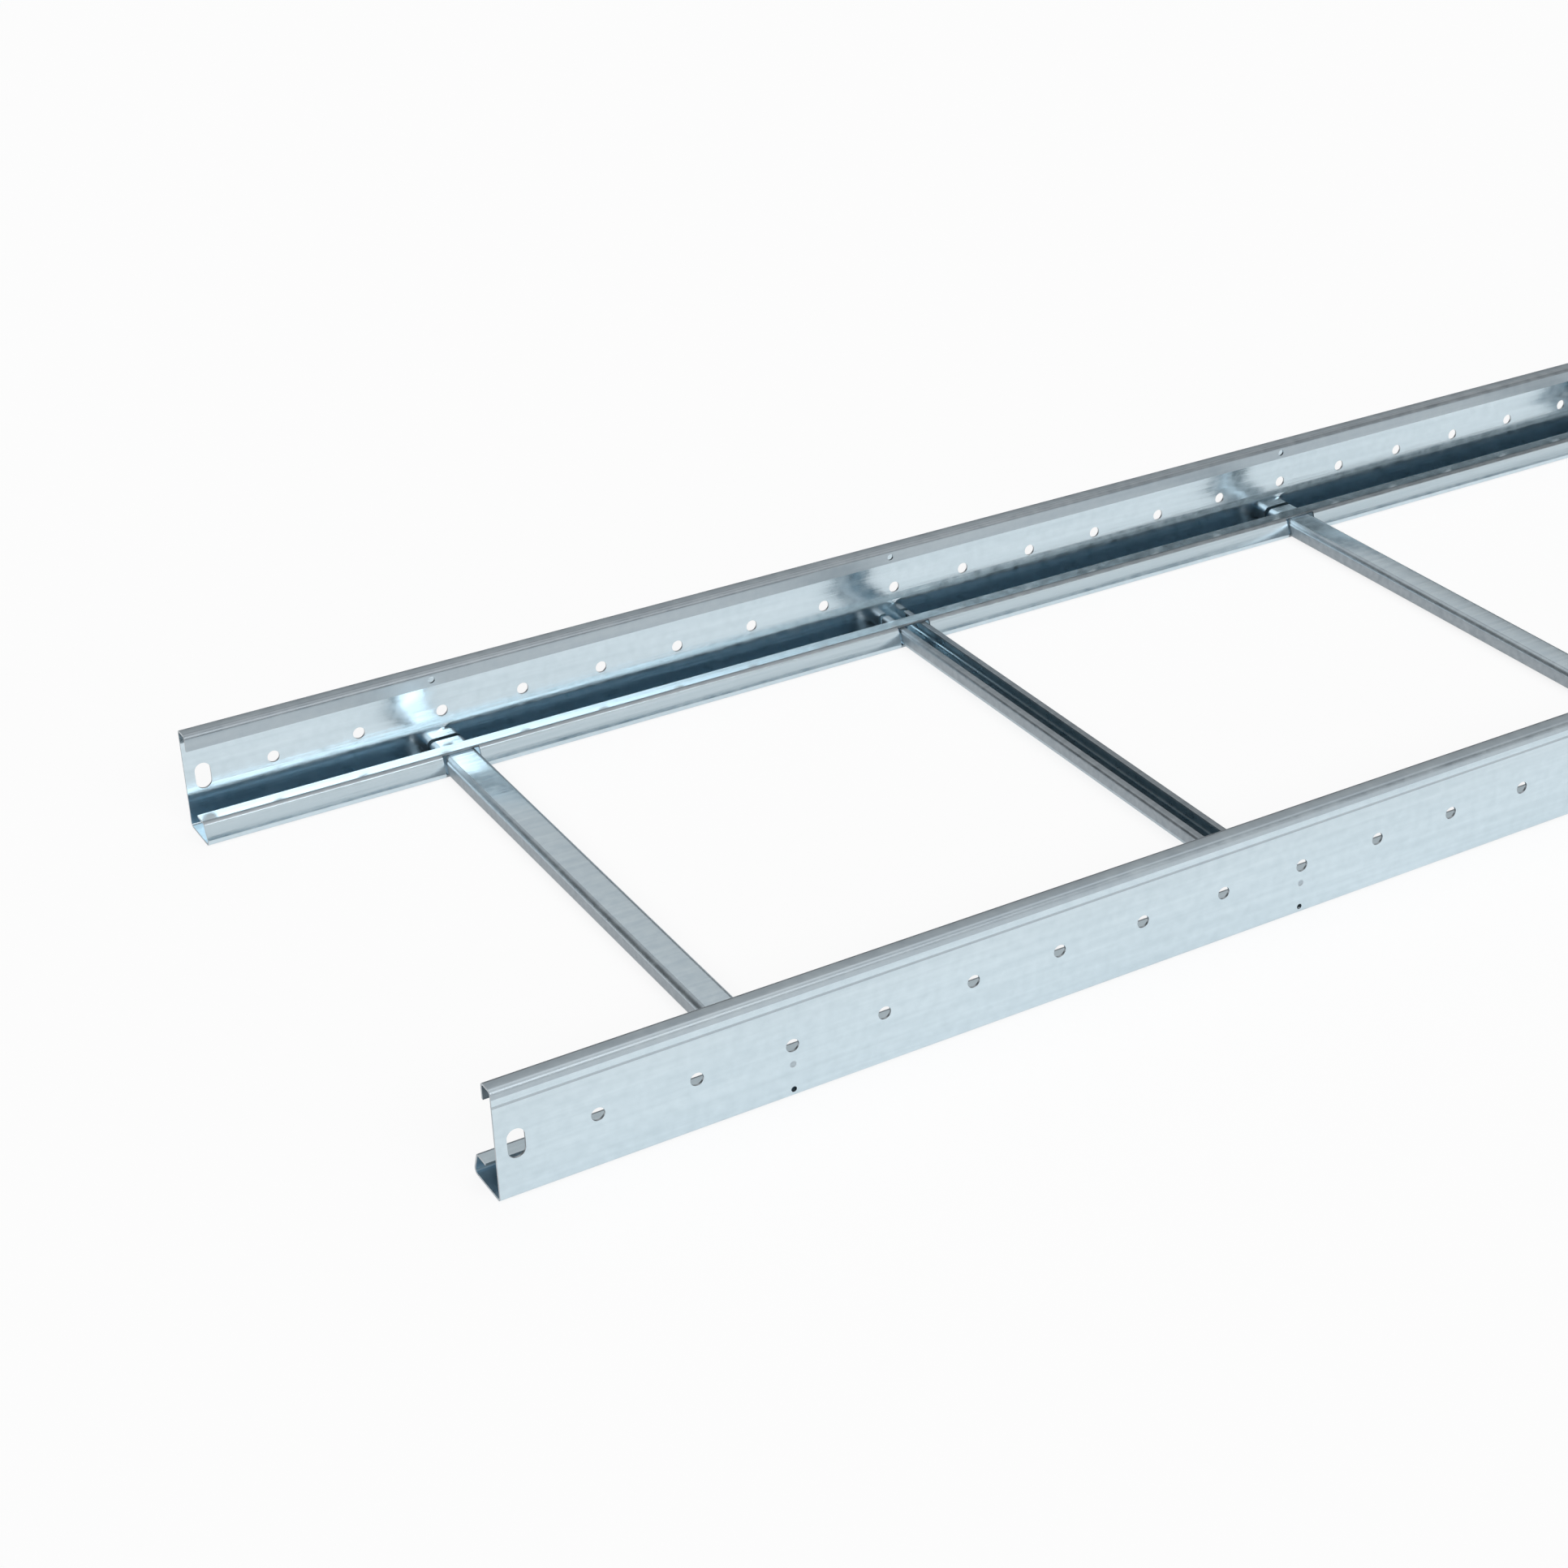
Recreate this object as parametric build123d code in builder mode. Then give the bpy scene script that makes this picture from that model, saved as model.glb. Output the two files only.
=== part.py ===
from build123d import *
import os

os.makedirs("parts", exist_ok=True)

# One straight section of cable ladder in zinc coated sheet, lying on the undersides of its rails.
# X runs along the rails, Y across them and Z up from the floor. Sizes are in millimetres.
length = 3000.0
width = 400.0

# The side rail is one strip, bent to a channel that opens towards the cables.
# Its inner lip leans in over the foot, and the return lip lies flat just above the rungs.
sheet = 1.25
bend_radius = 2.75
rail_height = 60.0
top_flange = 10.5
top_lip = 9.5
bottom_flange = 28.75
lip_lean = 5.25
return_lip = 9.75

# A row of round fixing holes runs along each web, with one upright slot at each end.
hole_diameter = 7.0
hole_pitch = 50.0
hole_height = 29.0
end_distance = 50.0
slot_width = 9.0
slot_height = 15.5
slot_distance = 10.0

# Rungs are bent to a channel with inturned lips and lie alternately face up and slot up.
rung_spacing = 300.0
first_rung = 150.0
rung_width = 20.5
rung_height = 10.5
rung_lip = 4.75
rung_sheet = 1.25
rung_bend_radius = 2.0
rung_end_gap = 0.25
window_gap = 1.0
rung_headroom = 0.25

# Small punch marks show at each rung: a hole low in the web, a dimple above it and a hole in the top lip.
mark_hole_diameter = 3.0
mark_hole_height = 4.5
lip_hole_height = 54.5
lip_hole_diameter = 4.0
lip_hole_offset = 8.0
dimple_diameter = 3.5
dimple_depth = 0.4
dimple_height = 18.5

rung_count = int((length - 2 * first_rung) / rung_spacing + 0.5) + 1
hole_count = int((length - 2 * end_distance) / hole_pitch + 0.5) + 1
rung_length = width - 2 * (bend_radius + rung_end_gap)
window_height = rung_height + rung_headroom
inner_lip = sheet + window_height + sheet

# The front rail, drawn as its outside line from the top lip round to the return lip.
with BuildPart() as side_rail_front:
    rail_end = Plane(origin=(-length / 2, -width / 2, 0), x_dir=(0, 1, 0), z_dir=(1, 0, 0))
    with BuildSketch(rail_end) as rail_section:
        with BuildLine() as rail_line:
            outside = FilletPolyline(
                (top_flange, rail_height - top_lip),
                (top_flange, rail_height),
                (0, rail_height),
                (0, 0),
                (bottom_flange, 0),
                (bottom_flange - lip_lean, inner_lip),
                (bottom_flange - lip_lean - return_lip, inner_lip),
                radius=bend_radius,
            )
            offset(amount=sheet, side=Side.LEFT)
        make_face()
    extrude(amount=length)

    # Round holes and end slots are punched through the web only.
    web_face = Plane(origin=(0, -width / 2, 0), x_dir=(1, 0, 0), z_dir=(0, -1, 0))
    with BuildSketch(web_face) as web_holes:
        with Locations((0, hole_height)):
            with GridLocations(hole_pitch, 0, hole_count, 1):
                Circle(hole_diameter / 2)
            with GridLocations(length - 2 * slot_distance, 0, 2, 1):
                SlotOverall(slot_height, slot_width, rotation=90)
        with Locations((0, mark_hole_height)):
            with GridLocations(rung_spacing, 0, rung_count, 1):
                Circle(mark_hole_diameter / 2)
    extrude(amount=-(sheet + bend_radius), mode=Mode.SUBTRACT)

    # One small hole in the top lip stands beside the middle of each rung.
    top_lip_face = Plane(origin=(0, top_flange - width / 2, 0), x_dir=(1, 0, 0), z_dir=(0, -1, 0))
    with BuildSketch(top_lip_face) as lip_holes:
        with Locations((-lip_hole_offset, lip_hole_height)):
            with GridLocations(rung_spacing, 0, rung_count, 1):
                Circle(lip_hole_diameter / 2)
    extrude(amount=bend_radius, both=True, mode=Mode.SUBTRACT)

    # The dimples go only part of the way through the sheet.
    with BuildSketch(web_face) as web_dimples:
        with Locations((0, dimple_height)):
            with GridLocations(rung_spacing, 0, rung_count, 1):
                Circle(dimple_diameter / 2)
    extrude(amount=-dimple_depth, mode=Mode.SUBTRACT)

    # Each rung passes through a window in the leaning inner lip, right under the return lip.
    lip_face = Plane(origin=(0, bottom_flange - width / 2, 0), x_dir=(1, 0, 0), z_dir=(0, -1, 0))
    with BuildSketch(lip_face) as lip_windows:
        with Locations((0, sheet + window_height / 2)):
            with GridLocations(rung_spacing, 0, rung_count, 1):
                Rectangle(rung_width + 2 * window_gap, window_height)
    extrude(amount=lip_lean + bend_radius, both=True, mode=Mode.SUBTRACT)
side_rail_front.part.label = "side_rail_front"
export_step(side_rail_front.part, "parts/side_rail_front.step")

# The back rail is the same strip, handed the other way.
with BuildPart() as side_rail_back:
    mirror(side_rail_front.part, about=Plane.XZ)
side_rail_back.part.label = "side_rail_back"
export_step(side_rail_back.part, "parts/side_rail_back.step")

# Rungs rest on the bottom flanges and stop just short of the bend at the foot of each web.
for number in range(1, rung_count + 1):
    face_up = number % 2 == 1
    rung_x = first_rung + (number - 1) * rung_spacing - length / 2
    back_height = sheet + rung_height if face_up else sheet
    across = 1 if face_up else -1
    middle = Plane(origin=(rung_x, 0, back_height), x_dir=(across, 0, 0), z_dir=(0, -1, 0))
    with BuildPart() as rung:
        with BuildSketch(middle) as rung_section:
            with BuildLine() as rung_line:
                FilletPolyline(
                    (rung_lip - rung_width / 2, -rung_height),
                    (-rung_width / 2, -rung_height),
                    (-rung_width / 2, 0),
                    (rung_width / 2, 0),
                    (rung_width / 2, -rung_height),
                    (rung_width / 2 - rung_lip, -rung_height),
                    radius=rung_bend_radius,
                )
                offset(amount=rung_sheet, side=Side.RIGHT)
            make_face()
        extrude(amount=rung_length / 2, both=True)
    rung.part.label = f"rung_{number:02d}"
    export_step(rung.part, f"parts/rung_{number:02d}.step")
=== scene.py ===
import math

import bmesh
import bpy
from mathutils import Euler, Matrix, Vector


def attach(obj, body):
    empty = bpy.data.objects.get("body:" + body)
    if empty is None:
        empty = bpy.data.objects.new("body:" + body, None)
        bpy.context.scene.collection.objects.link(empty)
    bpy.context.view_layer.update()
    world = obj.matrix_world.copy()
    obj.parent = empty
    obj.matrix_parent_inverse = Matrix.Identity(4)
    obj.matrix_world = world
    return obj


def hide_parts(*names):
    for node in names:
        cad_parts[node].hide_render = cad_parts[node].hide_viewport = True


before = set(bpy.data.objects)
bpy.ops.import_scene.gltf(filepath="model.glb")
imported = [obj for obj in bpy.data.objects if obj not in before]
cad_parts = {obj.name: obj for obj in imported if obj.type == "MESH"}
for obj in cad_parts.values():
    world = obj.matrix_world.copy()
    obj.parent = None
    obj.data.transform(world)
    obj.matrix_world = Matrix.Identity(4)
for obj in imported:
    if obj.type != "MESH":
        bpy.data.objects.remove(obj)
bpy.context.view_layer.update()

# The ladder lies flat on the floor, seen from outside the front rail and above.
# The camera stands at the photograph's viewing angle, and the far end runs out of the picture.
camera_data = bpy.data.cameras.new("camera")
camera_data.sensor_width = 36.0
camera_data.lens = 66.29
camera_data.shift_x = -0.10208
camera_data.shift_y = -0.01163
camera_data.clip_end = 400.0
camera = bpy.data.objects.new("camera", camera_data)
bpy.context.collection.objects.link(camera)
camera.location = (-1.88235, -1.17696, 0.78546)
camera.rotation_euler = Euler([math.radians(a) for a in (61.2496, 0.307, -32.4114)], "XYZ")
bpy.context.scene.camera = camera

# Each side rail is one zinc coated steel strip, punched while flat and then rolled to its channel.
# It is drawn the same way: a flat strip with its holes, carried round the bends of the section.
half_length = 1.5
half_width = 0.2
sheet = 0.00125
rail_bend = 0.00275
rail_height = 0.060
top_flange = 0.0105
top_lip = 0.0095
bottom_flange = 0.02875
lip_lean = 0.00525
inner_lip = 0.01325
return_lip = 0.00975
hole_radius = 0.0035
hole_pitch = 0.050
hole_height = 0.029
slot_half_width = 0.0045
slot_half_height = 0.00775
slot_distance = 0.010
mark_radius = 0.0015
mark_height = 0.0045
lip_hole_height = 0.0545
lip_hole_radius = 0.002
lip_hole_offset = 0.008
dimple_radius = 0.00175
dimple_height = 0.0185
dimple_depth = 0.0004
# The crease is real, and a band along it is painted darker as painted shade.
crease_height = 0.0513
crease_depth = 0.00015
crease_rim = 0.0007
crease_floor = 0.0003
# A band of the web just under the top bend is painted darker at this height: a painted dark reflection.
bend_shade_line_height = 0.0568
bend_shade_line_width = 0.0014
first_rung = -1.35
rung_spacing = 0.3
rung_count = 10
rung_half_width = 0.01025
window_gap = 0.001
holes_each_way = 29

rung_places = [first_rung + rung_spacing * k for k in range(rung_count)]
hole_places = [hole_pitch * k for k in range(-holes_each_way, holes_each_way + 1)]
hole_sides = 32
small_hole = 0.002
small_hole_sides = 20
dimple_rings = [1.0, 0.75, 0.4]
dimple_fullness = 1.1
edge_rounding = 0.00016


def rolled_section(corners, outside, bends, stops, steps=8):
    """The rows of a strip bent round the corners, as (leg, distance, sink, point, outward direction)."""
    rows = []
    last = len(corners) - 2
    for leg in range(last + 1):
        start, end = Vector(corners[leg]), Vector(corners[leg + 1])
        along = (end - start).normalized()
        out = Vector((along.y, -along.x)) * outside
        reach = (end - start).length
        turn_before = 0.0 if leg == 0 else (end - start).angle(start - Vector(corners[leg - 1]))
        turn = 0.0 if leg == last else (end - start).angle(Vector(corners[leg + 2]) - end)
        bend = bends[min(leg, last - 1)]
        first = bends[max(leg - 1, 0)] * math.tan(turn_before / 2)
        final = reach - bend * math.tan(turn / 2)
        marks = [(first, 0.0)] + [s if isinstance(s, tuple) else (s, 0.0) for s in stops.get(leg, ())]
        for distance, sink in marks + [(final, 0.0)]:
            rows.append((leg, distance, sink, start + along * distance, out))
        if leg == last:
            break
        onward = (Vector(corners[leg + 2]) - end).normalized()
        turned = Vector((onward.y, -onward.x)) * outside
        convex = 1 if out.dot(onward) < 0 else -1
        hub = start + along * final - out * bend * convex
        for step in range(1, steps):
            angle = turn * step / steps
            out_now = (out * math.sin(turn - angle) + turned * math.sin(angle)) / math.sin(turn)
            rows.append((leg + 0.5, step, 0.0, hub + out_now * bend * convex, out_now))
    return rows


def row_at(rows, leg, distance):
    return min(
        (k for k in range(len(rows)) if rows[k][0] == leg),
        key=lambda k: abs(rows[k][1] - distance),
    )


def punched_strip(name, rows, stations, openings, windows, looks, place):
    """A bent sheet with both faces and its cut edges, holes left open, as one mesh object."""
    # The cut edges take finish 1. The looks give the number of another finish to a row of the outer
    # or inner face of the sheet, and the word dimple stands for the bottoms of the dimples.
    spots = {}
    skins = []
    taken = set(windows)

    def spot(key, station, point, out, sink):
        spots[key] = (station, point - out * sink, out)
        return key

    def grid(i, j):
        return spot(("row", i, j), stations[i], rows[j][3], rows[j][4], rows[j][2])

    for number, (left, right, low, high, centre, leg, distance, wide, tall, depth) in enumerate(openings):
        for i in range(left, right):
            for j in range(low, high):
                taken.add((i, j))
        leg_point, leg_out = rows[low][3], rows[low][4]
        leg_along = (rows[high][3] - rows[low][3]).normalized()
        middle = leg_point + leg_along * (distance - rows[low][1])
        rings = [1.0] if depth == 0.0 else dimple_rings
        count = hole_sides if wide > small_hole else small_hole_sides
        made = []
        turns = []
        for ring, scale in enumerate(rings):
            loop = []
            for k in range(count):
                angle = 2 * math.pi * k / count
                across, up = math.cos(angle) * wide * scale, math.sin(angle) * wide * scale
                up += math.copysign(tall - wide, math.sin(angle)) if abs(math.sin(angle)) > 1e-6 else 0.0
                sink = depth * (1 - scale ** 2) * dimple_fullness if depth else 0.0
                if ring == 0:
                    turns.append(math.atan2(up, across) % (2 * math.pi))
                key = ("hole", number, ring, k)
                loop.append(spot(key, centre + across, middle + leg_along * up, leg_out, sink))
            made.append(loop)
        border = [(i, low) for i in range(left, right)] + [(right, j) for j in range(low, high)]
        border += [(i, high) for i in range(right, left, -1)] + [(left, j) for j in range(high, low, -1)]
        border = sorted(
            (math.atan2(rows[j][1] - distance, stations[i] - centre) % (2 * math.pi), i, j)
            for i, j in border
        )
        edge = [grid(i, j) for _, i, j in border]
        rim_turns = turns + [turns[0] + 2 * math.pi]
        edge_turns = [turn for turn, _, _ in border] + [border[0][0] + 2 * math.pi]
        k = e = 0
        while k < count or e < len(edge):
            rim_next = rim_turns[k] + rim_turns[k + 1] if k < count else math.inf
            edge_next = edge_turns[e] + edge_turns[e + 1] if e < len(edge) else math.inf
            if rim_next <= edge_next:
                skins.append((made[0][k], edge[e % len(edge)], made[0][(k + 1) % count]))
                k += 1
            else:
                skins.append((made[0][k % count], edge[e], edge[(e + 1) % len(edge)]))
                e += 1
        for inner, outer in zip(made[1:], made[:-1]):
            for k in range(count):
                skins.append((outer[k], outer[(k + 1) % count], inner[(k + 1) % count], inner[k]))
        if depth:
            skins.append(tuple(made[-1]))

    for i in range(len(stations) - 1):
        for j in range(len(rows) - 1):
            if (i, j) not in taken:
                skins.append((grid(i, j), grid(i + 1, j), grid(i + 1, j + 1), grid(i, j + 1)))

    mesh = bmesh.new()
    faces = {}
    for side, inset in (("outer", 0.0), ("inner", sheet)):
        for key in dict.fromkeys(k for skin in skins for k in skin):
            station, point, out = spots[key]
            bare = point - out * inset
            faces[side, key] = mesh.verts.new(place(station, bare.x, bare.y))
    uses = {}
    for skin in skins:
        outside = mesh.faces.new([faces["outer", key] for key in skin])
        inside = mesh.faces.new([faces["inner", key] for key in reversed(skin)])
        first_row = min((key[2] for key in skin if key[0] == "row"), default="dimple")
        outside.material_index = looks.get(("outer", first_row), 0)
        inside.material_index = looks.get(("inner", first_row), 0)
        for a, b in zip(skin, skin[1:] + skin[:1]):
            uses.setdefault(frozenset((a, b)), []).append((a, b))
    for used in uses.values():
        if len(used) == 1:
            a, b = used[0]
            rim = (faces["outer", b], faces["outer", a], faces["inner", a], faces["inner", b])
            mesh.faces.new(rim).material_index = 1
    bmesh.ops.recalc_face_normals(mesh, faces=mesh.faces)
    data = bpy.data.meshes.new(name)
    mesh.to_mesh(data)
    mesh.free()
    piece = bpy.data.objects.new(name, data)
    bpy.context.collection.objects.link(piece)
    data.shade_smooth()
    rounding = piece.modifiers.new("sheared edges", "BEVEL")
    rounding.width = edge_rounding
    rounding.segments = 2
    rounding.limit_method = "ANGLE"
    rounding.angle_limit = math.radians(50)
    rounding.harden_normals = True
    return piece


def metal(name, pale, deep, rough):
    """Zinc coated sheet: a cool metal with soft rolling streaks, faint mottling and a fine grain."""
    material = bpy.data.materials.new(name)
    material.use_nodes = True
    nodes, links = material.node_tree.nodes, material.node_tree.links
    shader = nodes["Principled BSDF"]
    shader.inputs["Metallic"].default_value = 1.0
    where = nodes.new("ShaderNodeTexCoord")
    stretch = nodes.new("ShaderNodeMapping")
    stretch.inputs["Scale"].default_value = (2.5, 90.0, 90.0)
    links.new(where.outputs["Object"], stretch.inputs["Vector"])
    streak = nodes.new("ShaderNodeTexNoise")
    streak.inputs["Scale"].default_value = 3.0
    streak.inputs["Detail"].default_value = 4.0
    links.new(stretch.outputs["Vector"], streak.inputs["Vector"])
    mottle = nodes.new("ShaderNodeTexNoise")
    mottle.inputs["Scale"].default_value = 160.0
    mottle.inputs["Detail"].default_value = 5.0
    links.new(where.outputs["Object"], mottle.inputs["Vector"])
    grain = nodes.new("ShaderNodeTexNoise")
    grain.inputs["Scale"].default_value = 1400.0
    grain.inputs["Detail"].default_value = 2.0
    links.new(where.outputs["Object"], grain.inputs["Vector"])
    blend = nodes.new("ShaderNodeMix")
    blend.inputs["Factor"].default_value = 0.5
    links.new(streak.outputs["Fac"], blend.inputs["A"])
    links.new(mottle.outputs["Fac"], blend.inputs["B"])
    tone = nodes.new("ShaderNodeValToRGB")
    tone.color_ramp.elements[0].position = 0.35
    tone.color_ramp.elements[0].color = (*deep, 1.0)
    tone.color_ramp.elements[1].position = 0.65
    tone.color_ramp.elements[1].color = (*pale, 1.0)
    links.new(blend.outputs["Result"], tone.inputs["Fac"])
    links.new(tone.outputs["Color"], shader.inputs["Base Color"])
    gloss = nodes.new("ShaderNodeMapRange")
    gloss.inputs["From Min"].default_value = 0.3
    gloss.inputs["From Max"].default_value = 0.7
    gloss.inputs["To Min"].default_value = rough - 0.05
    gloss.inputs["To Max"].default_value = rough + 0.06
    links.new(mottle.outputs["Fac"], gloss.inputs["Value"])
    links.new(gloss.outputs["Result"], shader.inputs["Roughness"])
    wave = nodes.new("ShaderNodeBump")
    wave.inputs["Strength"].default_value = 0.25
    wave.inputs["Distance"].default_value = 0.0004
    links.new(streak.outputs["Fac"], wave.inputs["Height"])
    skin = nodes.new("ShaderNodeBump")
    skin.inputs["Strength"].default_value = 0.2
    skin.inputs["Distance"].default_value = 0.00008
    links.new(grain.outputs["Fac"], skin.inputs["Height"])
    links.new(wave.outputs["Normal"], skin.inputs["Normal"])
    links.new(skin.outputs["Normal"], shader.inputs["Normal"])
    return material


rail_zinc = metal("rail zinc", (0.68, 0.79, 0.85), (0.59, 0.70, 0.76), 0.17)
cut_edge = metal("sheared edge", (0.50, 0.55, 0.58), (0.36, 0.40, 0.43), 0.38)
# This copy of the zinc is painted darker for the inside of the rail's trough: painted shade.
fold_painted_shade = metal("zinc inside the folds", (0.58, 0.71, 0.79), (0.50, 0.64, 0.73), 0.30)
# This copy is painted darker still, as painted shade, to dim the highlights of two rail bends and to
# darken the sides and lips of the rungs.
dark_zinc_painted_shade = metal("zinc rubbed dull", (0.38, 0.42, 0.45), (0.28, 0.32, 0.35), 0.40)
# This copy is painted darkest, as painted shade under the top flange.
under_flange_painted_shade = metal("zinc under the flange", (0.25, 0.28, 0.30), (0.18, 0.20, 0.22), 0.45)
# This copy is painted darker, as painted shade and dimmed reflections, for the lip, flange, dimple
# bottoms, two lines of the web and the bends of the rungs.
dimmed_zinc_painted_shade = metal("zinc worn by the rolls", (0.50, 0.57, 0.61), (0.42, 0.49, 0.54), 0.36)

rail_corners = (
    (top_flange, rail_height - top_lip),
    (top_flange, rail_height),
    (0.0, rail_height),
    (0.0, 0.0),
    (bottom_flange, 0.0),
    (bottom_flange - lip_lean, inner_lip),
    (bottom_flange - lip_lean - return_lip, inner_lip),
)

# Legs of the section are counted from the top lip, and a bend has the half number between its legs.
lip_leg = 0
lip_bend = 0.5
web_leg = 2
foot_leg = 3
foot_bend = 3.5
return_bend = 4.5

# Each hole is cut from a patch of the strip that reaches this far to either side of its middle.
cell = 0.006
slot_cell = 0.0055
web_cell = 0.0082
small_cell = 0.0025
lip_cell = 0.0024
lip_hole_row = lip_hole_height - (rail_height - top_lip)
rail_stops = {
    lip_leg: (lip_hole_row - lip_cell, lip_hole_row + lip_cell),
    web_leg: (
        rail_height - bend_shade_line_height,
        rail_height - bend_shade_line_height + bend_shade_line_width,
        rail_height - crease_height - crease_rim,
        (rail_height - crease_height - crease_floor, crease_depth),
        (rail_height - crease_height + crease_floor, crease_depth),
        rail_height - crease_height + crease_rim,
        rail_height - hole_height - web_cell,
        rail_height - hole_height + web_cell,
        rail_height - dimple_height + small_cell,
        rail_height - mark_height - small_cell,
    ),
}
rail_rows = rolled_section(rail_corners, 1, [rail_bend] * 5, rail_stops)
# These rows begin the two bands along the top of the web that are painted darker: painted shade along the
# crease and a painted dark reflection under the top bend.
painted_shade_rows = (rail_bend, rail_height - bend_shade_line_height, rail_height - crease_height - crease_rim)
rail_stations = {-half_length, half_length}
for x in hole_places:
    rail_stations |= {round(x - cell, 6), round(x + cell, 6), round(x + hole_pitch / 2, 6)}
for x in rung_places:
    rail_stations |= {
        round(x - rung_half_width - window_gap, 6),
        round(x + rung_half_width + window_gap, 6),
    }
    rail_stations |= {round(x - lip_hole_offset - cell, 6), round(x - lip_hole_offset + cell, 6)}
for x in (slot_distance - half_length, half_length - slot_distance):
    rail_stations |= {round(x - slot_cell, 6), round(x + slot_cell, 6)}
rail_stations = sorted(x for x in rail_stations if abs(x) <= half_length)


def station_at(stations, x):
    return min(range(len(stations)), key=lambda k: abs(stations[k] - x))


hole_down = rail_height - hole_height
mark_down = rail_height - mark_height
dimple_down = rail_height - dimple_height
web_rows = (
    row_at(rail_rows, web_leg, rail_height - hole_height - web_cell),
    row_at(rail_rows, web_leg, rail_height - hole_height + web_cell),
)
dimple_rows = (web_rows[1], row_at(rail_rows, web_leg, rail_height - dimple_height + small_cell))
mark_rows = (
    row_at(rail_rows, web_leg, rail_height - mark_height - small_cell),
    row_at(rail_rows, web_leg, rail_height - rail_bend),
)
lip_rows = (
    row_at(rail_rows, lip_leg, lip_hole_row - lip_cell),
    row_at(rail_rows, lip_leg, lip_hole_row + lip_cell),
)
rail_openings = []
for x in hole_places:
    ends = (station_at(rail_stations, x - cell), station_at(rail_stations, x + cell))
    rail_openings.append((*ends, *web_rows, x, web_leg, hole_down, hole_radius, hole_radius, 0.0))
for x in (slot_distance - half_length, half_length - slot_distance):
    ends = (station_at(rail_stations, x - slot_cell), station_at(rail_stations, x + slot_cell))
    rail_openings.append((*ends, *web_rows, x, web_leg, hole_down, slot_half_width, slot_half_height, 0.0))

# Beside each rung come the small marks and the window, which runs up into the bend of the return lip.
rail_windows = set()
for x in rung_places:
    ends = (station_at(rail_stations, x - cell), station_at(rail_stations, x + cell))
    rail_openings.append((*ends, *mark_rows, x, web_leg, mark_down, mark_radius, mark_radius, 0.0))
    dimple = (dimple_radius, dimple_radius, dimple_depth)
    rail_openings.append((*ends, *dimple_rows, x, web_leg, dimple_down, *dimple))
    before = x - lip_hole_offset
    ends = (station_at(rail_stations, before - cell), station_at(rail_stations, before + cell))
    lip_hole = (lip_hole_radius, lip_hole_radius, 0.0)
    rail_openings.append((*ends, *lip_rows, before, lip_leg, lip_hole_row, *lip_hole))
    gap = rung_half_width + window_gap
    for i in range(station_at(rail_stations, x - gap), station_at(rail_stations, x + gap)):
        for j in range(row_at(rail_rows, foot_bend, 1), row_at(rail_rows, return_bend, 5)):
            rail_windows.add((i, j))

# The lip, the flange, the sharp bends, the dimple bottoms and two lines along the top of the web are
# darker and rougher than the web; the darkness is painted shade and dimmed reflections.
# The inside of the folds is painted darker too, as painted shade in the trough, and darkest under the top
# flange as painted shade.
rail_finishes = (rail_zinc, cut_edge, fold_painted_shade, dimmed_zinc_painted_shade, under_flange_painted_shade, dark_zinc_painted_shade)
rail_looks = {("outer", "dimple"): rail_finishes.index(dimmed_zinc_painted_shade)}
for j, (leg, distance, sink, _, _) in enumerate(rail_rows):
    painted_shade_row = leg == web_leg and any(abs(distance - mark) < 0.0001 for mark in painted_shade_rows)
    if leg < web_leg or painted_shade_row or sink > 0:
        rail_looks["outer", j] = rail_finishes.index(dimmed_zinc_painted_shade)
    if leg in (lip_bend, return_bend):
        rail_looks["outer", j] = rail_finishes.index(dark_zinc_painted_shade)
    if leg < web_leg:
        rail_looks["inner", j] = rail_finishes.index(under_flange_painted_shade)
    if leg >= foot_leg:
        rail_looks["inner", j] = rail_finishes.index(fold_painted_shade)
for name, side in (("front", -1), ("back", 1)):
    rail = punched_strip(
        f"rail_strip_{name}", rail_rows, rail_stations, rail_openings, rail_windows, rail_looks,
        lambda x, y, z, side=side: (x, side * (half_width - y), z),
    )
    for finish in rail_finishes:
        rail.data.materials.append(finish)
    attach(rail, "root")
    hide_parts(f"side_rail_{name}")

# The rungs are shorter strips of the same sheet, bent to a channel with its edges turned in.
# Their ends pass through the windows of the rails, and they lie in turn face up and slot up.
rung_height = 0.0105
rung_lip = 0.00475
rung_lip_bend = 0.002
rung_face_bend = 0.0035
rung_end_gap = 0.00025
rung_half_length = half_width - rail_bend - rung_end_gap
rung_zinc = metal("rung zinc", (0.79, 0.91, 0.97), (0.66, 0.78, 0.86), 0.20)
# The inside of the rungs is painted dark: painted shade.
rung_inside_painted_shade = metal("zinc inside the rungs", (0.38, 0.48, 0.54), (0.31, 0.42, 0.48), 0.30)
rung_corners = (
    (rung_lip - rung_half_width, -rung_height),
    (-rung_half_width, -rung_height),
    (-rung_half_width, 0.0),
    (rung_half_width, 0.0),
    (rung_half_width, -rung_height),
    (rung_half_width - rung_lip, -rung_height),
)
rung_bends = (rung_lip_bend, rung_face_bend, rung_face_bend, rung_lip_bend)
rung_rows = rolled_section(rung_corners, -1, rung_bends, {})

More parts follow.
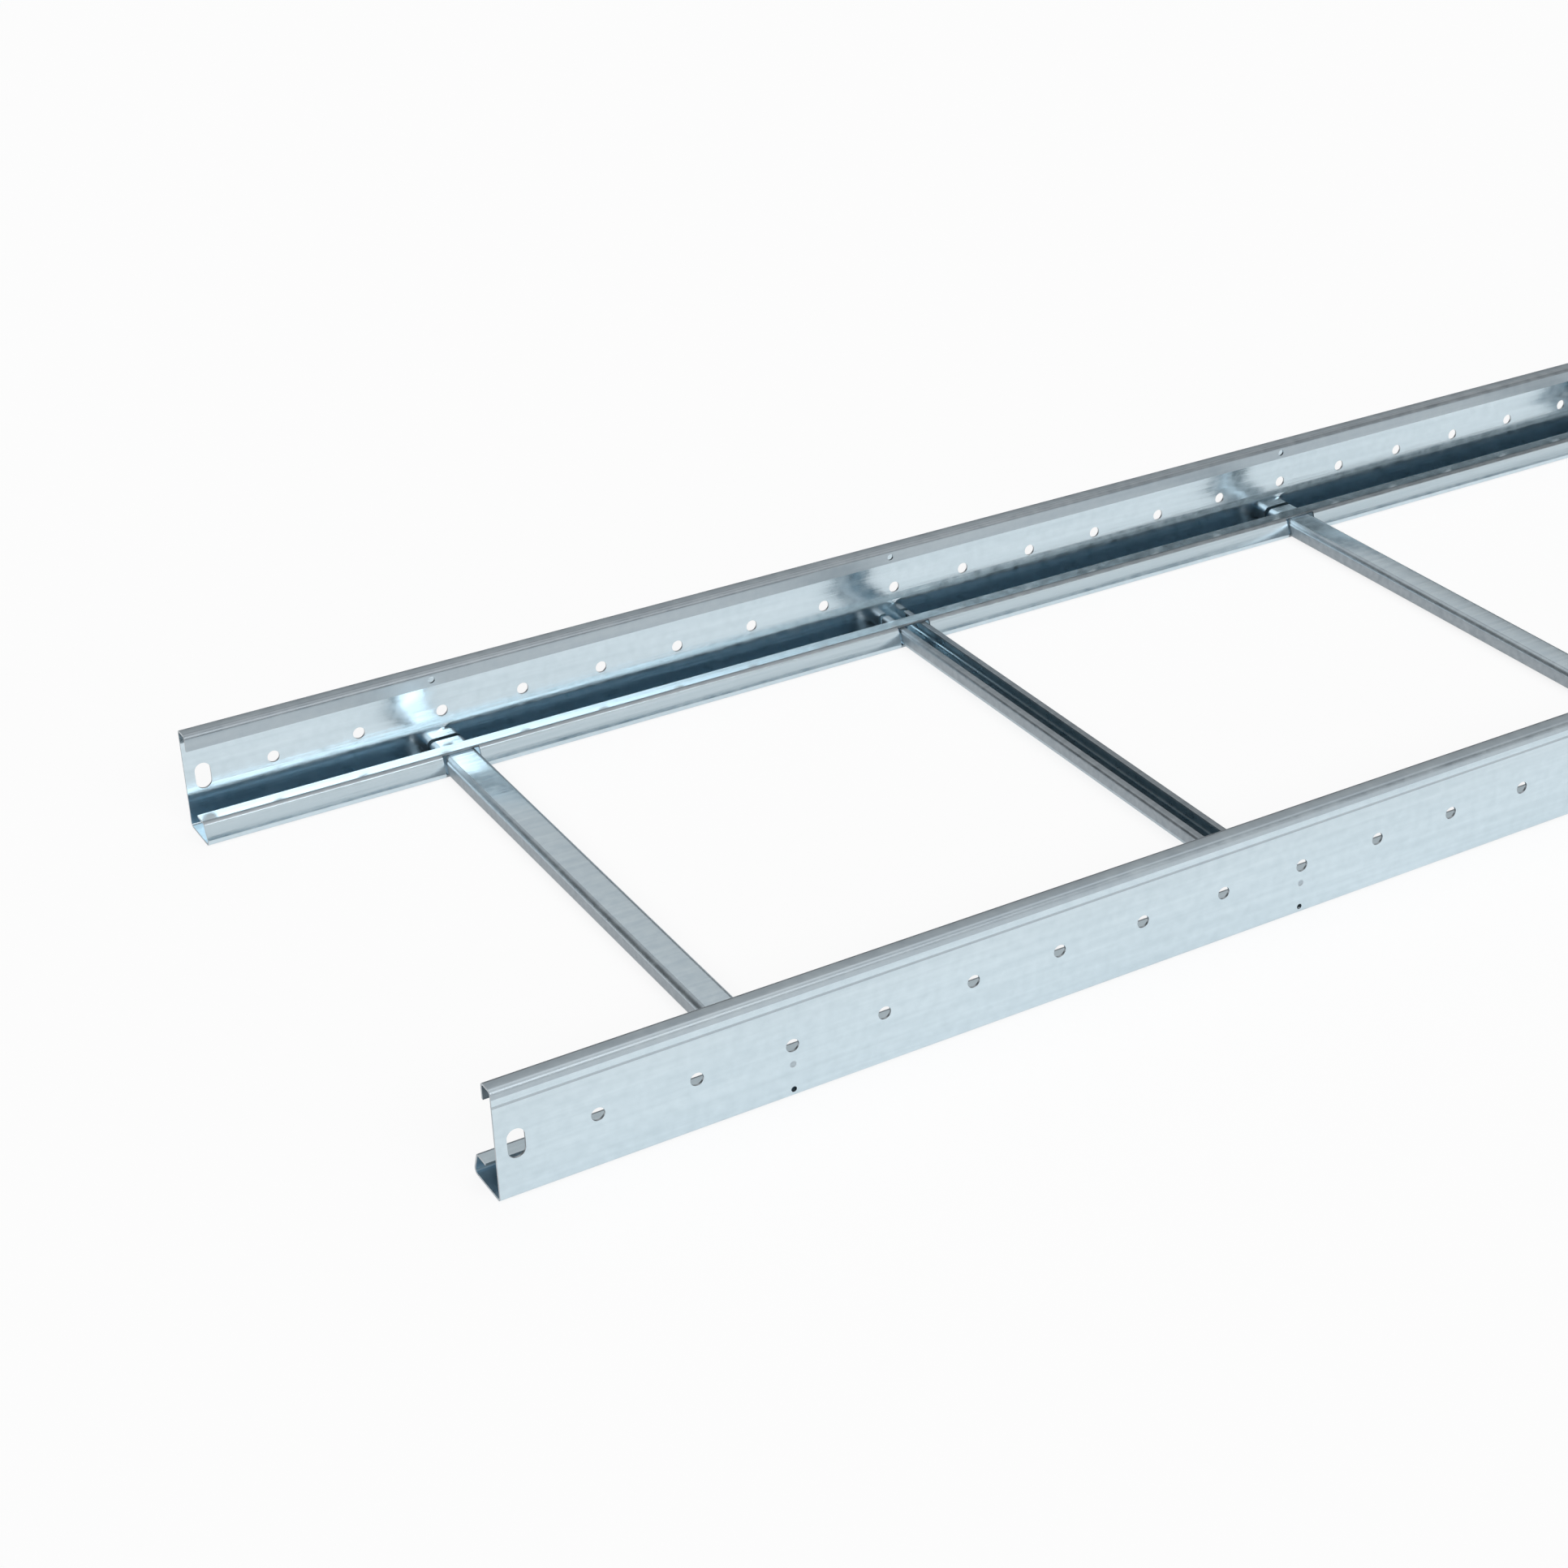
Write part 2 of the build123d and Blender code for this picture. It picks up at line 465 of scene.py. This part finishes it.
# The face of a rung shines most. Its two bends are painted darker and its sides and lips darkest, as
# painted shade, and its inside is painted dark as painted shade too.
face_leg = 2
face_bends = (1.5, 2.5)
rung_finishes = (rung_zinc, cut_edge, rung_inside_painted_shade, dark_zinc_painted_shade, dimmed_zinc_painted_shade)
rung_looks = {}
for j, row in enumerate(rung_rows):
    rung_looks["inner", j] = rung_finishes.index(rung_inside_painted_shade)
    if row[0] in face_bends:
        rung_looks["outer", j] = rung_finishes.index(dimmed_zinc_painted_shade)
    elif row[0] != face_leg:
        rung_looks["outer", j] = rung_finishes.index(dark_zinc_painted_shade)
rung_steps = 12
rung_stations = [rung_half_length * k / rung_steps for k in range(-rung_steps, rung_steps + 1)]
for number, x in enumerate(rung_places, 1):
    face_up = number % 2 == 1
    back = sheet + rung_height if face_up else sheet
    flip = 1 if face_up else -1
    rung = punched_strip(
        f"rung_strip_{number:02d}", rung_rows, rung_stations, [], set(), rung_looks,
        lambda y, u, w, x=x, back=back, flip=flip: (x + flip * u, y, back + flip * w),
    )
    for finish in rung_finishes:
        rung.data.materials.append(finish)
    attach(rung, "root")
    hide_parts(f"rung_{number:02d}")

# The floor is a plain white sheet of board that runs on past the picture on every side.
# It is lit evenly from above and keeps a soft shadow under the ladder.
floor_data = bpy.data.meshes.new("floor")
floor_reach = 150.0
floor_corners = [
    (-floor_reach, -floor_reach, 0),
    (floor_reach, -floor_reach, 0),
    (floor_reach, floor_reach, 0),
    (-floor_reach, floor_reach, 0),
]
floor_data.from_pydata(floor_corners, [], [(0, 1, 2, 3)])
floor = bpy.data.objects.new("floor", floor_data)
bpy.context.collection.objects.link(floor)
floor.location.z = -0.0002
board = bpy.data.materials.new("white board")
board.use_nodes = True
nodes, links = board.node_tree.nodes, board.node_tree.links
matt = nodes["Principled BSDF"]
matt.inputs["Base Color"].default_value = (0.94, 0.94, 0.94, 1.0)
matt.inputs["Roughness"].default_value = 0.9
matt.inputs["Specular IOR Level"].default_value = 0.0
glow = nodes.new("ShaderNodeEmission")
rays = nodes.new("ShaderNodeLightPath")
mirrored = nodes.new("ShaderNodeMath")
mirrored.operation = "MAXIMUM"
links.new(rays.outputs["Is Glossy Ray"], mirrored.inputs[0])
links.new(rays.outputs["Is Transmission Ray"], mirrored.inputs[1])
mirrored_share = nodes.new("ShaderNodeMath")
mirrored_share.operation = "MULTIPLY"
mirrored_share.inputs[1].default_value = 0.48
links.new(mirrored.outputs[0], mirrored_share.inputs[0])
seen_share = nodes.new("ShaderNodeMath")
seen_share.operation = "MULTIPLY"
seen_share.inputs[1].default_value = 0.82
links.new(rays.outputs["Is Camera Ray"], seen_share.inputs[0])
share = nodes.new("ShaderNodeMath")
share.operation = "MAXIMUM"
links.new(seen_share.outputs[0], share.inputs[0])
links.new(mirrored_share.outputs[0], share.inputs[1])
both = nodes.new("ShaderNodeMixShader")
links.new(share.outputs[0], both.inputs["Fac"])
links.new(matt.outputs["BSDF"], both.inputs[1])
links.new(glow.outputs["Emission"], both.inputs[2])
links.new(both.outputs["Shader"], nodes["Material Output"].inputs["Surface"])
board.cycles.emission_sampling = "NONE"
floor_data.materials.append(board)

# The light is a studio room with a pale ceiling, one wide soft box, a screen and a pale wall.
# The box hangs high to the left, the screen stands low behind the camera and the wall on the right.
world = bpy.data.worlds.new("studio")
bpy.context.scene.world = world
world.use_nodes = True
nodes, links = world.node_tree.nodes, world.node_tree.links
where = nodes.new("ShaderNodeTexCoord")
split = nodes.new("ShaderNodeSeparateXYZ")
links.new(where.outputs["Generated"], split.inputs["Vector"])
walls = nodes.new("ShaderNodeValToRGB")
walls.color_ramp.elements[0].position = 0.0
walls.color_ramp.elements[0].color = (0.07, 0.073, 0.076, 1.0)
walls.color_ramp.elements[1].position = 1.0
walls.color_ramp.elements[1].color = (0.94, 0.94, 0.94, 1.0)
for height, level in ((0.28, 0.11), (0.74, 0.16), (0.85, 0.90)):
    stop = walls.color_ramp.elements.new(height)
    stop.color = (level, level, level, 1.0)
links.new(split.outputs["Z"], walls.inputs["Fac"])


def bright_area(level, fades):
    """A part of the room that shines at this level, with soft edges given as (axis, dark, bright)."""
    shine = level
    for axis, dark, bright in fades:
        fade = nodes.new("ShaderNodeMapRange")
        fade.interpolation_type = "SMOOTHSTEP"
        fade.inputs["From Min"].default_value = dark
        fade.inputs["From Max"].default_value = bright
        links.new(split.outputs[axis], fade.inputs["Value"])
        times = nodes.new("ShaderNodeMath")
        times.operation = "MULTIPLY"
        links.new(fade.outputs["Result"], times.inputs[0])
        if shine is level:
            times.inputs[1].default_value = level
        else:
            links.new(shine, times.inputs[1])
        shine = times.outputs[0]
    return shine


soft_box = bright_area(2.7, (("Z", 0.38, 0.45), ("Z", 0.80, 0.70), ("Y", 0.15, -0.05), ("X", 0.50, 0.33)))
screen = bright_area(0.72, (("Z", 0.03, 0.13), ("Z", 0.38, 0.28), ("Y", -0.35, -0.75)))
pale_wall = bright_area(0.42, (("Z", 0.26, 0.44), ("X", -0.35, 0.05), ("Y", -0.20, 0.30)))
room = walls.outputs["Color"]
for shine in (soft_box, screen, pale_wall):
    together = nodes.new("ShaderNodeVectorMath")
    together.operation = "ADD"
    links.new(room, together.inputs[0])
    links.new(shine, together.inputs[1])
    room = together.outputs["Vector"]
background = nodes["Background"]
background.inputs["Strength"].default_value = 1.0
links.new(room, background.inputs["Color"])

scene = bpy.context.scene
scene.view_settings.view_transform = "Standard"
